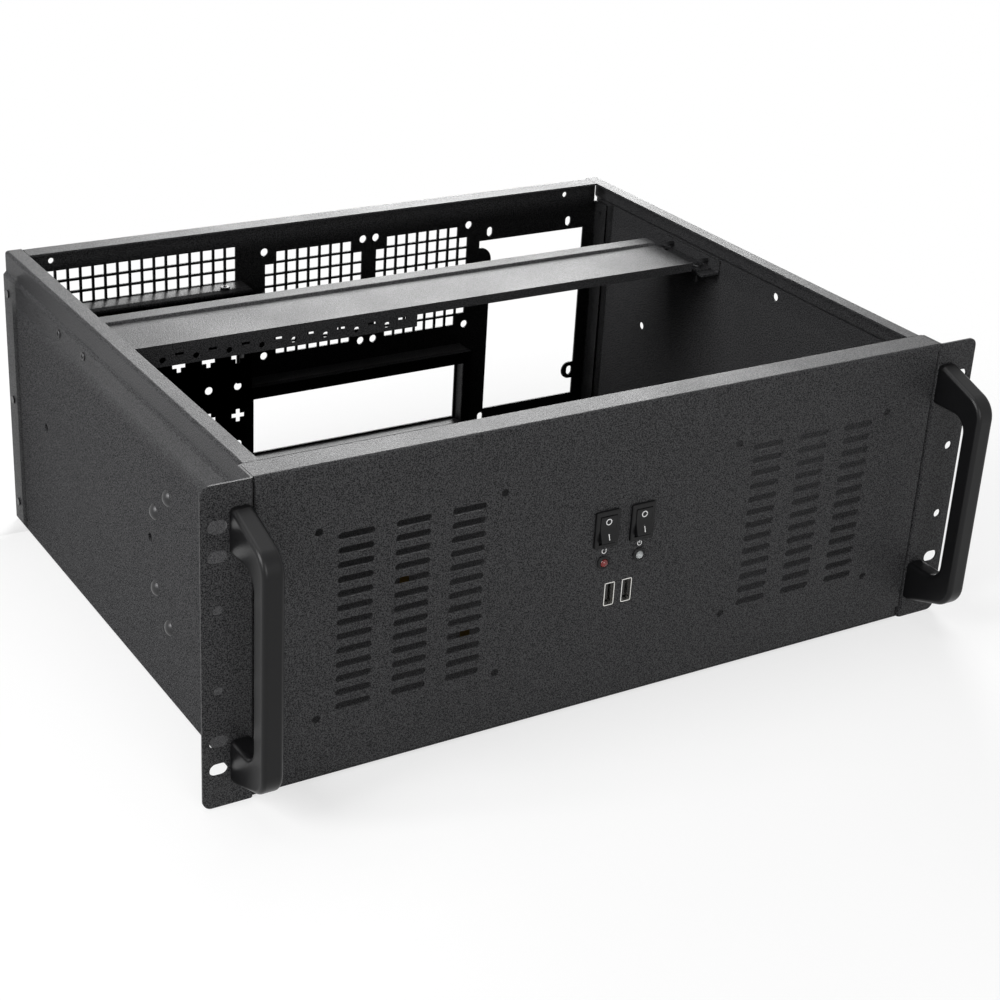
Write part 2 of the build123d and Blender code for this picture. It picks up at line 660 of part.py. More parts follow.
def rear_holes():
    """Everything that is cut through the rear panel's face."""
    holes = fan_place(FAN_XS[0]) + fan_place(FAN_XS[1])
    holes += Pos(GRILLE_X, GRILLE_Z) * cells(GRILLE_COLUMNS, GRILLE_ROWS, False)
    holes += psu_opening() + frame_outline(SHEET + FRAME_MARGIN)
    drop = CASE_HEIGHT - COVER_HOLE_DROP
    return holes + spread(Circle(COVER_HOLE_RADIUS), [(-COVER_HOLE_X, drop), (COVER_HOLE_X, drop)])


def rear_panel():
    """A face with flanges on all four sides, meshes, fan places and two large openings."""
    face = REAR - SHEET / 2
    near = REAR - REAR_FLANGE
    floor = 1.5 * SHEET
    side = WALL_IN - SHEET / 2
    tip = FLANGE_TIP - GAP
    shoulder = JOGGLE_Z - 2 * SHEET
    upper = UPPER_IN - SHEET
    cross = [(near, TOP_MID), (face, TOP_MID), (face, floor), (near, floor)]
    panel = folded("x", cross, -tip, tip)
    for s in (-1, 1):
        edge = [(s * side, REAR - RETURN), (s * side, face), (s * tip, face)]
        panel += folded("z", edge, RETURN_RISE, shoulder)
        x0, x1 = sorted((s * tip, s * upper))
        panel += block(x0, x1, REAR - SHEET, REAR, shoulder, CASE_HEIGHT - BEND - SHEET)
    rivets = spread(Circle(SCREW_RADIUS + PIN_CLEAR), RIVETS)
    panel -= run("y", rear_holes(), REAR - SHEET - GAP, REAR + GAP)
    return panel - run("x", rivets, -WALL_OUT, WALL_OUT)


def io_centre():
    """The middle of the input/output opening."""
    return Pos(IO_X, IO_TOP - IO_HEIGHT / 2)


def board_frame():
    """A plate set in from the rear panel, with side walls back to it."""
    shell = run("y", frame_outline(0), PLATE, REAR - SHEET)
    shell -= run("y", frame_outline(SHEET), PLATE + SHEET, REAR)
    middle = (SLOT_WINDOW_BOTTOM + SLOT_WINDOW_TOP) / 2
    window = Rectangle(SLOT_WINDOW_WIDTH, SLOT_WINDOW_TOP - SLOT_WINDOW_BOTTOM)
    holes = spread(window, [(x, middle) for x in SLOT_XS])
    holes += io_centre() * Rectangle(IO_WIDTH, IO_HEIGHT)
    screws = spread(Circle(SCREW_RADIUS + PIN_CLEAR), clamp_screw_spots())
    shell -= run("z", screws, SLOT_TOP - SHEET - GAP, SLOT_TOP + GAP)
    return shell - run("y", holes, PLATE - GAP, PLATE + SHEET + GAP)


def punches():
    """Round holes and crosses in turn down a slot cover."""
    cross = Rectangle(CROSS_SPAN, CROSS_ARM) + Rectangle(CROSS_ARM, CROSS_SPAN)
    rounds = spread(Circle(PUNCH_RADIUS), [(0, PUNCH_Z + i * PUNCH_PITCH) for i in (-2, 0, 2)])
    return rounds + spread(cross, [(0, PUNCH_Z + i * PUNCH_PITCH) for i in (-1, 1)])


def slot_cover(x):
    """A blank bracket: a punched strip, a tab over the frame's top and a tongue below."""
    half = COVER_WIDTH / 2
    strip = Pos(0, (COVER_BOTTOM + SLOT_TOP) / 2) * Rectangle(COVER_WIDTH, SLOT_TOP - COVER_BOTTOM)
    strip += Pos(0, COVER_BOTTOM - COVER_TONGUE / 2) * Rectangle(COVER_TONGUE_WIDTH, COVER_TONGUE)
    front = PLATE - COVER_SHEET
    cover = run("y", strip - punches(), front, PLATE)
    tab = block(-half, half, front, PLATE + COVER_TAB, SLOT_TOP, SLOT_TOP + COVER_SHEET)
    y = PLATE + CLAMP_SCREW_SETBACK
    notch = block(-half - GAP, -COVER_NOTCH_X + COVER_NOTCH / 2, y - COVER_NOTCH / 2, y + COVER_NOTCH / 2,
                  SLOT_TOP - GAP, SLOT_TOP + 2 * COVER_SHEET)
    cover = cover + tab
    bend = cover.edges().filter_by(Axis.X).sort_by_distance((0, front, SLOT_TOP + COVER_SHEET))[0]
    return Pos(x, 0, 0) * (fillet(bend, BEND - GAP) - notch)


def clamp_screw_spots():
    """Where the clamp's two screws pass, at the notches of the outer covers."""
    y = PLATE + CLAMP_SCREW_SETBACK
    return [(x - COVER_NOTCH_X, y) for x in (SLOT_XS[0], SLOT_XS[-1])]


def slot_clamp():
    """An angle over the covers' tabs, with a lip down their front."""
    z = SLOT_TOP + COVER_SHEET + SHEET / 2
    y = PLATE - COVER_SHEET - GAP - SHEET / 2
    path = [(REAR - SHEET - GAP, z), (y, z), (y, z - CLAMP_LIP)]
    angle = folded("x", path, FRAME_LEFT, FRAME_STEP)
    screws = spread(Circle(SCREW_RADIUS + PIN_CLEAR), clamp_screw_spots())
    return angle - run("z", screws, SLOT_TOP, z + SHEET)


def clamp_screws():
    """Two pan heads on the clamp."""
    seat = SLOT_TOP + COVER_SHEET + SHEET
    return [Pos(x, y, seat) * screw(2 * CLAMP_LIP) for x, y in clamp_screw_spots()]


# The crossbar and its fixings


def crossbar():
    """A channel with a raised rear strip and a lowered tab at each end."""
    back = BAR_FRONT + BAR_WIDTH - SHEET / 2
    band = BAR_FRONT + BAR_BAND
    low = BAR_TOP - BAR_LIP
    path = [(BAR_FRONT + SHEET / 2, low), (BAR_FRONT + SHEET / 2, BAR_MID), (band, BAR_MID)]
    path += [(band + BAR_STEP, BAR_MID + BAR_STEP), (back, BAR_MID + BAR_STEP), (back, low)]
    bar = folded("x", path, -BAR_END, BAR_END)
    end = WALL_IN - SHEET - BEND - GAP
    tab = [(BAR_END - BAR_TAB_INSET, BAR_MID), (BAR_END, BAR_MID)]
    tab += [(BAR_END + BAR_DROP, BAR_MID - BAR_DROP), (end, BAR_MID - BAR_DROP)]
    start = BAR_FRONT + BAR_TAB_INSET
    bar += folded("y", tab, start, start + BAR_TAB_WIDTH)
    bar += folded("y", [(-x, z) for x, z in tab], start, start + BAR_TAB_WIDTH)
    spots = [(s * BAR_SCREW_X, y) for s in (-1, 1) for y in BAR_SCREWS]
    holes = spread(Circle(SCREW_RADIUS + PIN_CLEAR), spots)
    return bar - run("z", holes, TAB_TOP - SHEET - GAP, TAB_TOP + GAP)


def card_strip():
    """A strip on the crossbar's front, deeper over the card slots, with slots and holes in turn."""
    top = BAR_TOP + STRIP_PROUD
    low = BAR_TOP - BAR_LIP
    deep = BAR_TOP - STRIP_LIP
    face = outline([(-BAR_END, deep), (STRIP_END, deep), (STRIP_END, low), (BAR_END, low),
                    (BAR_END, top), (-BAR_END, top)])
    slots = [(STRIP_X + i * SLOT_PITCH, BAR_TOP - STRIP_SLOT_DROP) for i in range(STRIP_COUNT)]
    rounds = [(x - SLOT_PITCH / 2, BAR_TOP - STRIP_HOLE_DROP) for x, z in slots]
    face -= spread(Circle(STRIP_HOLE_RADIUS), rounds)
    face -= spread(Rectangle(STRIP_SLOT, STRIP_SLOT_HEIGHT), slots)
    return run("y", face, BAR_FRONT - SHEET, BAR_FRONT)


def crossbar_bracket(side):
    """An angle on the wall whose shelf carries the crossbar's tab."""
    shelf = SHELF_TOP - SHEET / 2
    wall = WALL_IN - SHEET / 2
    path = [(BAR_END + BAR_DROP, shelf), (wall, shelf), (wall, JOGGLE_Z - FOLD)]
    start = BAR_FRONT - BRACKET_SPARE
    angle = folded("y", [(side * x, z) for x, z in path], start, BAR_FRONT + BAR_WIDTH + BRACKET_SPARE)
    down = spread(Circle(SCREW_RADIUS + PIN_CLEAR), [(side * BAR_SCREW_X, y) for y in BAR_SCREWS])
    across = spread(Circle(SCREW_RADIUS + PIN_CLEAR), [(y, BRACKET_SCREW_Z) for y in BAR_SCREWS])
    angle -= run("z", down, SHELF_TOP - SHEET - GAP, SHELF_TOP + GAP)
    return angle - run("x", across, -WALL_OUT, WALL_OUT)


def crossbar_screws():
    """Two pan heads on each tab."""
    one = screw(2 * BAR_LIP)
    return [Pos(s * BAR_SCREW_X, y, TAB_TOP) * one for s in (-1, 1) for y in BAR_SCREWS]


def bracket_screws():
    """Two screws through each wall into its bracket."""
    length = WALL_OUT - BAR_SCREW_X - PAN_RADIUS - 2 * GAP
    heads = []
    for side in (-1, 1):
        one = Rot(0, side * 90, 0) * screw(length, LOW_RADIUS, LOW_HEIGHT)
        heads += [Pos(side * WALL_OUT, y, BRACKET_SCREW_Z) * one for y in BAR_SCREWS]
    return heads


# Inside the case


def drive_bracket():
    """An angle inside the left wall, held by the four button heads."""
    near = min(DRIVE_YS) - DRIVE_MARGIN
    far = max(DRIVE_YS) + DRIVE_MARGIN
    low = min(DRIVE_ZS) - DRIVE_MARGIN
    high = max(DRIVE_ZS) + DRIVE_MARGIN
    wall = -WALL_IN + SHEET / 2
    leg = near + SHEET / 2
    angle = folded("z", [(wall, far), (wall, leg), (wall + DRIVE_LEG, leg)], low, high)
    holes = spread(Circle(SCREW_RADIUS + PIN_CLEAR), list(zip(DRIVE_YS, DRIVE_ZS)))
    angle -= run("x", holes, -WALL_OUT, -WALL_IN + 2 * SHEET)
    slots = GridLocations(DRIVE_SLOT_PITCH, DRIVE_SLOT_PITCH, 1, DRIVE_SLOT_COUNT)
    slot = SlotOverall(DRIVE_SLOT, DRIVE_SLOT_HEIGHT)
    row = Pos(wall + DRIVE_LEG / 2 + SHEET, (low + high) / 2) * (Sketch() + slots * slot)
    return angle - run("y", row, near - GAP, near + SHEET + GAP)


def wall_screws():
    """Four domed heads through the left wall."""
    ball = (BUTTON_RADIUS ** 2 + BUTTON_HEIGHT ** 2) / (2 * BUTTON_HEIGHT)
    head = Pos(0, 0, BUTTON_HEIGHT / 2) * Cylinder(BUTTON_RADIUS, BUTTON_HEIGHT)
    head = head & Pos(0, 0, BUTTON_HEIGHT - ball) * Sphere(ball)
    depth = 4 * SHEET
    one = Rot(0, -90, 0) * (head + Pos(0, 0, -depth / 2) * Cylinder(SCREW_RADIUS, depth))
    return [Pos(-WALL_OUT, y, z) * one for y, z in zip(DRIVE_YS, DRIVE_ZS)]


def rear_rivets():
    """Three rivets through each wall into the rear panel's side flange."""
    head = Pos(0, 0, RIVET_HEIGHT / 2) * Cylinder(RIVET_RADIUS, RIVET_HEIGHT)
    head += Pos(0, 0, -SHEET) * Cylinder(SCREW_RADIUS, 2 * SHEET)
    rivets = []
    for side in (-1, 1):
        one = Rot(0, side * 90, 0) * head
        rivets += [Pos(side * WALL_OUT, y, z) * one for y, z in RIVETS]
    return rivets


def board_standoffs():
    """Nine hexagonal pillars at the mainboard's hole pattern."""
    hexagon = RegularPolygon(PILLAR_ACROSS / 2, 6, major_radius=False)
    columns = (0, BOARD_MID_X, BOARD_FAR_X)
    rows = (0, BOARD_MID_Y, BOARD_FAR_Y)
    spots = [(BOARD_LEFT + x, BOARD_BACK - y) for x in columns for y in rows]
    bore = Circle(SCREW_RADIUS)
    return [run("z", Pos(x, y) * (hexagon - bore), SHEET, SHEET + PILLAR_HEIGHT) for x, y in spots]


def pieces():
    """Every node's name and its shape, or the list of its equal pieces."""
    made = {
        "chassis_tray": chassis_tray(),
        "front_panel": front_panel(),
        "rear_panel": rear_panel(),
        "board_frame": board_frame(),
        "left_handle": handle(-1),
        "right_handle": handle(1),
        "handle_screws": handle_screws(),
        "crossbar": crossbar(),
        "card_strip": card_strip(),
        "crossbar_bracket_left": crossbar_bracket(-1),
        "crossbar_bracket_right": crossbar_bracket(1),
        "crossbar_screws": crossbar_screws(),
        "bracket_screws": bracket_screws(),
        "slot_clamp": slot_clamp(),
        "clamp_screws": clamp_screws(),
        "lamp_holders": [lamp_holder(x) for x in LAMP_XS.values()],
        "red_lamp": lamp(LAMP_XS["red"]),
        "clear_lamp": lamp(LAMP_XS["clear"]),
        "switch_terminals": switch_terminals(),
        "usb_shells": usb_shells(),
        "usb_tongues": usb_tongues(),
        "usb_board": usb_board(),
        "usb_bracket": usb_bracket(),
        "drive_bracket": drive_bracket(),
        "wall_screws": wall_screws(),
        "rear_rivets": rear_rivets(),
        "board_standoffs": board_standoffs(),
    }
    for number, x in enumerate(SLOT_XS, 1):
        made[f"slot_cover_{number}"] = slot_cover(x)
    for name, x in SWITCH_XS.items():
        made[f"{name}_switch_body"] = switch_body(x)
        made[f"{name}_rocker"] = rocker(x)
    return made


os.makedirs("parts", exist_ok=True)
for node, shape in pieces().items():
    whole = Compound(children=list(shape)) if isinstance(shape, list) else shape
    export_step(whole, f"parts/{node}.step")
print("switch pivots, mm:", [(name, round(x, 2), round(PIVOT, 2), SWITCH_Z) for name, x in SWITCH_XS.items()])
print("front and rear faces, mm:", round(FRONT, 2), round(REAR, 2))
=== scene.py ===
# %% [markdown]
# # An empty 4U rackmount server case, its looks
#
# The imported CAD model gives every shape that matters. This notebook dresses it:
# powder-coated sheet steel, moulded handles and switches, and the small parts that
# are too fine for the CAD. Units are metres in the model's own frame: X to the
# right seen from the front, Y to the back, Z up.

# %% Load the frame
import json
import math

import bmesh
import bpy
import numpy as np
from mathutils import Euler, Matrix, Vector


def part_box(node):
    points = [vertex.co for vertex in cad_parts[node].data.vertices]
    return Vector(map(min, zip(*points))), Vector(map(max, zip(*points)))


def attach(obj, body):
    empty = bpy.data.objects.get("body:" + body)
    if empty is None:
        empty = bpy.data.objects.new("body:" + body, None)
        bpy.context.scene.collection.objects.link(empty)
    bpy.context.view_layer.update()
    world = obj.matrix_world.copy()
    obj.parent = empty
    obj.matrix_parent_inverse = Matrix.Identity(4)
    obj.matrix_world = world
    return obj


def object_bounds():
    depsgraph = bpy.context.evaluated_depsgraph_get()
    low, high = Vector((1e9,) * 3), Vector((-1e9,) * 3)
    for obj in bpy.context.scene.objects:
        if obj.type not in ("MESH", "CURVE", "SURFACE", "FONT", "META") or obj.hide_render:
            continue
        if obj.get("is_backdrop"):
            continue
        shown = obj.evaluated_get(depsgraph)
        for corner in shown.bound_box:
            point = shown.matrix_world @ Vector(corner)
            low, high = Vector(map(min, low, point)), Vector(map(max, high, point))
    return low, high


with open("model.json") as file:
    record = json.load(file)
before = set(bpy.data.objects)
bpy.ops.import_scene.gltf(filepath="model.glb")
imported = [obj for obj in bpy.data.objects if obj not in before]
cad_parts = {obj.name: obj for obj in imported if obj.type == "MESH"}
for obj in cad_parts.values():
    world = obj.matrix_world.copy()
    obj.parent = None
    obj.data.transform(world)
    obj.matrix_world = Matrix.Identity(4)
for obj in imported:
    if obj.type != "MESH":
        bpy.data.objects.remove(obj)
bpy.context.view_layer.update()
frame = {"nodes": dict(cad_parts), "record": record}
NODES = frame["nodes"]
MM = 0.001

# %% [markdown]
# ## Places on the front panel
#
# The switches, lamps and sockets are in the CAD model, each kind as a node of its own. Their
# places could be typed in as numbers, but then a changed model would leave the small parts
# behind. So they are read from the boxes of the nodes.

# %% Read the places
FRONT_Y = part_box("front_panel")[0].y


def centre(node):
    """Middle of a CAD node's box: half the sum of its opposite corners."""
    low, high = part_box(node)
    return (low + high) / 2


SWITCH = {name: centre(f"{name}_switch_body") for name in ("reset", "power")}
LAMP = {name: centre(f"{name}_lamp") for name in ("red", "clear")}
print("front face", round(FRONT_Y, 4), "switches", [round(v.x, 4) for v in SWITCH.values()])

# %% [markdown]
# ## Colours and nodes
#
# A finish is a small graph of nodes round one Principled shader. Colours are written as hex
# values, as they look on screen, but the renderer reckons in linear light, so one function
# turns the first into the second. One more function adds a node with its inputs and
# settings, which keeps each graph below short.

# %% Colour and node helpers
def linear(code):
    """
    A hex sRGB colour as a linear RGBA tuple.

    A channel c from 0 to 1 becomes c / 12.92 up to 0.04045, and ((c + 0.055) / 1.055) ^ 2.4
    above it.
    """
    parts = [int(code[i:i + 2], 16) / 255 for i in (1, 3, 5)]
    light = [c / 12.92 if c <= 0.04045 else ((c + 0.055) / 1.055) ** 2.4 for c in parts]
    return (*light, 1.0)


def add(tree, kind, inputs=None, **settings):
    """Adds a node. Each input is a socket to link from or else a value; settings are its own."""
    node = tree.nodes.new(kind)
    for key, value in settings.items():
        setattr(node, key, value)
    for key, value in (inputs or {}).items():
        if isinstance(value, bpy.types.NodeSocket):
            tree.links.new(value, node.inputs[key])
        else:
            node.inputs[key].default_value = value
    return node


def surface(name, colour, roughness, metallic=0.0):
    """A new material with one Principled shader: the material, its tree and the shader."""
    mat = bpy.data.materials.new(name)
    mat.use_nodes = True
    tree = mat.node_tree
    shader = tree.nodes["Principled BSDF"]
    shader.inputs["Base Color"].default_value = linear(colour)
    shader.inputs["Roughness"].default_value = roughness
    shader.inputs["Metallic"].default_value = metallic
    return mat, tree, shader


print("a mid grey of #808080 is", round(linear("#808080")[0], 3), "in linear light")

# %% [markdown]
# ## Grain
#
# Coats, mouldings and platings all have a fine relief. Modelled in the mesh it would take
# millions of faces, and a flat shader would look like paper. So noise in Object
# coordinates, at a real size in millimetres, tilts the normals in the shader.

# %% Grain helper
NOISE_DETAIL = 2.0


def grain(tree, shader, size_mm, depth_mm):
    """Bumps of a given size and depth in millimetres; returns the noise and the position."""
    position = add(tree, "ShaderNodeTexCoord").outputs["Object"]
    noise = add(tree, "ShaderNodeTexNoise",
                {"Vector": position, "Scale": 1000.0 / size_mm, "Detail": NOISE_DETAIL})
    bump = add(tree, "ShaderNodeBump",
               {"Height": noise.outputs["Fac"], "Strength": 1.0, "Distance": depth_mm * MM})
    tree.links.new(bump.outputs["Normal"], shader.inputs["Normal"])
    return noise, position


# %% [markdown]
# ## Where the coat is dull
#
# The folded parts are powder-coated, and charged powder hardly reaches the bottom of a deep
# box, so the coat is thin and dull there. The inner faces could get a material of their
# own, but one folded sheet is one piece with faces on both sides. So the shader asks where
# a point lies: inside a box of limits, and how far below the rim.

# %% Limits of the dull coat
# In x the limits are those of the whole tray with its rack ears, so below the rim the outer
# faces of the side walls count as inside too. In y they run from just behind the front face
# to the front edge of the rear panel's flanges. In z they start in the middle of the sheet.
HALF_SHEET = 0.6 * MM
BEHIND_FRONT = 0.05 * MM
DULL_FROM_Z = 152.0 * MM
DULL_FULL_Z = 140.0 * MM
TRAY_LOW, TRAY_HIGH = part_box("chassis_tray")
REAR_FLANGE_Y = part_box("rear_panel")[0].y
LIMIT_LOW = Vector((TRAY_LOW.x + HALF_SHEET, FRONT_Y + BEHIND_FRONT, TRAY_LOW.z + HALF_SHEET))
LIMIT_HIGH = Vector(
    (TRAY_HIGH.x - HALF_SHEET, REAR_FLANGE_Y + HALF_SHEET, TRAY_HIGH.z + HALF_SHEET))


def deep_inside(tree, position):
    """
    0 outside the limits and at the rim, rising to 1 at the bottom of the box.

    A point p is inside where half the size of the limits is more than |p - middle| along
    each axis. The depth is a straight line in z between the two dull heights.
    """
    middle, half = (LIMIT_LOW + LIMIT_HIGH) / 2, (LIMIT_HIGH - LIMIT_LOW) / 2
    off = add(tree, "ShaderNodeVectorMath", {0: position, 1: middle}, operation="SUBTRACT")
    away = add(tree, "ShaderNodeVectorMath", {0: off.outputs["Vector"]}, operation="ABSOLUTE")
    room = add(tree, "ShaderNodeVectorMath",
               {0: half, 1: away.outputs["Vector"]}, operation="SUBTRACT")
    axes = add(tree, "ShaderNodeSeparateXYZ", {0: room.outputs["Vector"]})
    least = add(tree, "ShaderNodeMath",
                {0: axes.outputs["X"], 1: axes.outputs["Y"]}, operation="MINIMUM")
    least = add(tree, "ShaderNodeMath",
                {0: least.outputs[0], 1: axes.outputs["Z"]}, operation="MINIMUM")
    inside = add(tree, "ShaderNodeMath", {0: least.outputs[0], 1: 0.0}, operation="GREATER_THAN")
    height = add(tree, "ShaderNodeSeparateXYZ", {0: position})
    depth = add(tree, "ShaderNodeMapRange",
                {"Value": height.outputs["Z"], "From Min": DULL_FROM_Z, "From Max": DULL_FULL_Z})
    both = add(tree, "ShaderNodeMath",
               {0: inside.outputs[0], 1: depth.outputs["Result"]}, operation="MULTIPLY")
    return both.outputs[0]


print("dull from", [round(v, 4) for v in LIMIT_LOW], "to", [round(v, 4) for v in LIMIT_HIGH])

# %% [markdown]
# ## Powder coat
#
# Dry black polyester powder is charged, drawn to the steel and baked into a matte skin with
# a fine relief. One even grey would do from afar, but near by the coat sparkles a little.
# So the same noise makes the bumps and paints lighter and darker specks on them. These are a
# painted highlight where a bump would catch the light and painted shade where it would lose it. A
# softer noise moves the roughness. The real relief is finer than a pixel here, and it is drawn as
# coarse as it needs to show.

# %% Powder coat
COAT_GRAIN_MM, COAT_BUMP_MM = 0.65, 0.16
COAT_SPECULAR = 0.12
COAT_ROUGH_LOW, COAT_ROUGH_HIGH, COAT_ROUGH_DEEP = 0.42, 0.54, 0.95
COAT_CLOUDS_PER_METRE = 25.0
# Speck colours are painted light: lighter where a bump would catch the light, darker where it
# would lose it.
PAINTED_SPECK_FROM, PAINTED_SPECK_TO = 0.38, 0.62
PAINTED_SHADE_SPECK, PAINTED_HIGHLIGHT_SPECK = "#0b0b0d", "#434344"


def powder_coat():
    """Black polyester powder coat, baked on steel: matte, with bumps and painted highlight and
    shade specks.
    """
    mat, tree, shader = surface("black_powder_coat_on_steel", "#222223", 0.5)
    shader.inputs["Specular IOR Level"].default_value = COAT_SPECULAR
    noise, position = grain(tree, shader, COAT_GRAIN_MM, COAT_BUMP_MM)
    clouds = add(tree, "ShaderNodeTexNoise",
                 {"Vector": position, "Scale": COAT_CLOUDS_PER_METRE, "Detail": NOISE_DETAIL})
    rough = add(tree, "ShaderNodeMapRange", {
        "Value": clouds.outputs["Fac"], "To Min": COAT_ROUGH_LOW, "To Max": COAT_ROUGH_HIGH})
    dull = add(tree, "ShaderNodeMix",
               {"Factor": deep_inside(tree, position), "A": rough.outputs["Result"],
                "B": COAT_ROUGH_DEEP}, data_type="FLOAT")
    tree.links.new(dull.outputs[0], shader.inputs["Roughness"])
    # Painted highlight and shade: the base colour follows the bump noise, lighter on the high
    # bumps and darker in the low ones.
    share = add(tree, "ShaderNodeMapRange",
                {"Value": noise.outputs["Fac"], "From Min": PAINTED_SPECK_FROM, "From Max": PAINTED_SPECK_TO})
    painted_light_tone = add(tree, "ShaderNodeMixRGB",
               {"Fac": share.outputs["Result"], 1: linear(PAINTED_SHADE_SPECK), 2: linear(PAINTED_HIGHLIGHT_SPECK)})
    tree.links.new(painted_light_tone.outputs["Color"], shader.inputs["Base Color"])
    return mat


# %% [markdown]
# ## Moulded nylon
#
# The bow handles, the switches and the lamp holders are injection-moulded black nylon. A
# spark-eroded mould leaves a satin skin. Plain gloss would make the handles look wet, so a
# fairly low roughness keeps the highlight, and very shallow grain softens its edge.

# %% Nylon
NYLON_GRAIN_MM, NYLON_BUMP_MM = 0.5, 0.02
NYLON_SPECULAR = 0.22


def moulded_nylon():
    """Satin black nylon from a spark-eroded mould."""
    mat, tree, shader = surface("moulded_black_nylon", "#0c0c0d", 0.34)
    shader.inputs["Specular IOR Level"].default_value = NYLON_SPECULAR
    grain(tree, shader, NYLON_GRAIN_MM, NYLON_BUMP_MM)
    return mat


# %% [markdown]
# ## Metals
#
# Screws and rivets have a black zinc finish, darker and smoother than the coat. The socket
# shells are plated with nickel and the switch blades with tin. A metal's colour is that of
# its reflection, so the bright ones are fully metallic with their metal's tint, and the
# black finish, a thin dark layer over metal, stands half way.

# %% Metals
PLATING_GRAIN_MM, PLATING_BUMP_MM = 0.3, 0.002


def black_zinc():
    """Black zinc plating on steel screws and rivets."""
    return surface("black_zinc_plated_steel", "#2a2a2b", 0.35, metallic=0.5)[0]


def bright_plating(name, colour, roughness):
    """Nickel or tin plating, with the faint grain of the sheet under it."""
    mat, tree, shader = surface(name, colour, roughness, metallic=1.0)
    grain(tree, shader, PLATING_GRAIN_MM, PLATING_BUMP_MM)
    return mat


# %% [markdown]
# ## Lamp lenses
#
# The two lamps are domes of cast epoxy, one red and one clear. Full transmission, as for
# glass, would show only the dark hole behind them. An unlit lens keeps its own colour, so
# only a part of the light passes through and the rest is scattered.

# %% Lenses
EPOXY_IOR = 1.53


def lens(name, colour, roughness, clear):
    """Cast epoxy, of which the share called clear lets the light through."""
    mat, _, shader = surface(name, colour, roughness)
    shader.inputs["IOR"].default_value = EPOXY_IOR
    shader.inputs["Transmission Weight"].default_value = clear
    return mat


# %% [markdown]
# ## A finish for each slot
#
# The record of the CAD model gives each node a material slot, such as powder_coat. The
# nodes could be painted one by one, but a table from slot to finish says it once and also
# holds for nodes that are added later.

# %% Finishes by slot
BY_SLOT = {
    "powder_coat": powder_coat(),
    "black_plastic": moulded_nylon(),
    "black_screw": black_zinc(),
    "zinc_screw": black_zinc(),
    "red_lens": lens("red_epoxy_lens", "#7c1410", 0.08, 0.35),
    "clear_lens": lens("water_clear_epoxy_lens", "#ccd0d0", 0.06, 0.5),
    "bright_shell": bright_plating("nickel_plated_steel_shell", "#e2e1dd", 0.25),
    # Moulded insulator inside each socket: satin black.
    "tongue_plastic": surface("black_connector_plastic", "#1a1a1a", 0.4)[0],
    # Glass-epoxy board under solder mask: smooth dark green.
    "circuit_board": surface("green_solder_mask_on_epoxy", "#1d4a2c", 0.3)[0],
    "tinned_blade": bright_plating("tin_plated_brass_blade", "#c4c2bb", 0.3),
    # Turned brass pillars: slightly dulled yellow metal.
    "brass": surface("turned_brass", "#b5944f", 0.3, metallic=1.0)[0],
}
# White pad-printing ink: matt, a little off white.
WHITE_INK = surface("white_pad_print_ink", "#dedede", 0.5)[0]
# Gold flash on spring contacts: smooth yellow metal.
GOLD = surface("gold_plated_contact", "#d8b15a", 0.22, metallic=1.0)[0]
# Silver-plated lead frame: pale metal, seen through the lens.
SILVER = surface("lamp_lead_frame_silver", "#b8b8b8", 0.3, metallic=1.0)[0]

# %% Put the finishes on the CAD nodes
for entry in frame["record"]["subparts"]:
    for item in NODES[entry["node"]].material_slots:
        item.material = BY_SLOT[entry["material_slot"]]
print("materials", len(bpy.data.materials))

# %% [markdown]
# ## Printed marks as thin plates
#
# The marks on the rockers and the panel are pad-printed ink. They could be painted by a
# mask in the shader, but a mask must be told where each one lies and blurs from near by.
# A thin closed plate has a sharp edge and rides on its part. Its outline is a band between
# two lines, worked out as arrays.

# %% A mesh from arrays
def mesh_object(name, points, faces, mat):
    """An object at the origin, from an (n, 3) array of points and an array of faces."""
    mesh = bpy.data.meshes.new(name)
    mesh.from_pydata(np.asarray(points, float).tolist(), [], np.asarray(faces).tolist())
    mesh.materials.append(mat)
    mesh.update()
    item = bpy.data.objects.new(name, mesh)
    bpy.context.scene.collection.objects.link(item)
    return item


def outward(item):
    """Turns all faces of a closed mesh outward."""
    work = bmesh.new()
    work.from_mesh(item.data)
    bmesh.ops.recalc_face_normals(work, faces=work.faces)
    work.to_mesh(item.data)
    work.free()


# %% A band between two lines
def band(inner, outer, closed):
    """
    A plate between two lines of n points in the plane (u, v), with two layers.

    Points are stacked as inner low, outer low, inner high, outer high, so that corner i of
    layer k is at index i + k*n. Quads run i to i+1, and an open band gets two end quads.
    """
    n = len(inner)
    i = np.arange(n if closed else n - 1)
    j = (i + 1) % n
    low = np.stack([i, i + n, j + n, j], 1)
    high = np.stack([i + 2 * n, j + 2 * n, j + 3 * n, i + 3 * n], 1)
    side_in = np.stack([i, j, j + 2 * n, i + 2 * n], 1)
    side_out = np.stack([i + n, i + 3 * n, j + 3 * n, j + n], 1)
    faces = [low, high, side_in, side_out]
    if not closed:
        e = n - 1
        faces.append(np.array([[0, 2 * n, 3 * n, n], [e, e + n, e + 3 * n, e + 2 * n]]))
    flat = np.concatenate([inner, outer])
    layers = np.concatenate([np.zeros(2 * n), np.ones(2 * n)])
    return np.concatenate([flat, flat]), layers, np.concatenate(faces)


# %% Arcs, rings and bars
ARC_POINTS = 48
FULL_TURN = 360.0


def arc(radius, start, end, count):
    """Points r(cos t, sin t), with t from start to end in degrees."""
    t = np.radians(np.linspace(start, end, count))
    return np.stack([radius * np.cos(t), radius * np.sin(t)], 1)


